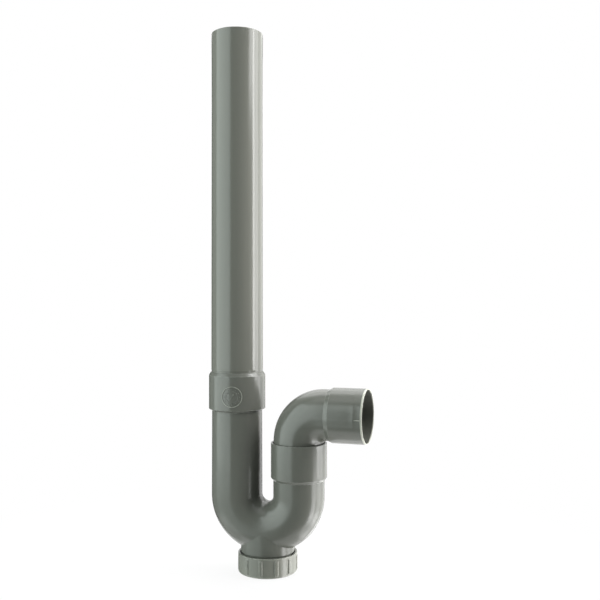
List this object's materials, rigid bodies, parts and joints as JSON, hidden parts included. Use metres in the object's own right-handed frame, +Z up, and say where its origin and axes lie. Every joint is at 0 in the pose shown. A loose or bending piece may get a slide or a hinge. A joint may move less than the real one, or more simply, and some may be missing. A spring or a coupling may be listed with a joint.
{
  "type": "p trap",
  "caption": "Grey 40 mm plastic P trap: tall open standpipe, U-bend that holds a water seal, screw cap cleanout underneath, and a swivelling 90 degree outlet elbow.",
  "frame": {"origin": "centre of the outlet socket's mouth", "axes": "+X out of the outlet, along its axis; +Z up, parallel to both legs; the trap is turned 4.5 degrees about the outlet leg from in line with the outlet, so the standpipe stands 3.9 mm to -Y"},
  "size_m": [0.1259, 0.0475, 0.4175],
  "materials": {
    "pipe_plastic": "extruded grey PVC, satin gloss",
    "trap_plastic": "moulded grey PVC, satin gloss",
    "elbow_plastic": "moulded grey PVC, satin gloss",
    "cap_plastic": "moulded light grey plastic, fine satin",
    "seal_rubber": "black rubber, matt"
  },
  "bodies": {
    "elbow": {"outlet_elbow": "elbow_plastic"},
    "trap": {"trap_body": "trap_plastic"},
    "standpipe": {"standpipe": "pipe_plastic"},
    "gasket": {"cleanout_gasket": "seal_rubber"},
    "cap": {"cleanout_cap": "cap_plastic"}
  },
  "joints": [
    {"name": "trap_swivel", "type": "hinge", "parent": "elbow", "child": "trap", "pos_m": [-0.05443, 0, -0.0338], "axis": [0, 0, 1], "range_deg": [-110, 110]},
    {"name": "standpipe_pull", "type": "slide", "parent": "trap", "child": "standpipe", "axis": [0, 0, 1], "range_m": [0, 0.03]},
    {"name": "cap_travel", "type": "slide", "parent": "trap", "child": "gasket", "axis": [0, 0, -1], "range_m": [0, 0.009]},
    {"name": "cap_unscrew", "type": "hinge", "parent": "gasket", "child": "cap", "pos_m": [-0.07919, -0.00195, -0.1153], "axis": [0, 0, -1], "range_deg": [0, 810]}
  ],
  "couplings": [
    {"joint": "cap_unscrew", "follows": "cap_travel", "rad_per_m": 1570.8}
  ]
}
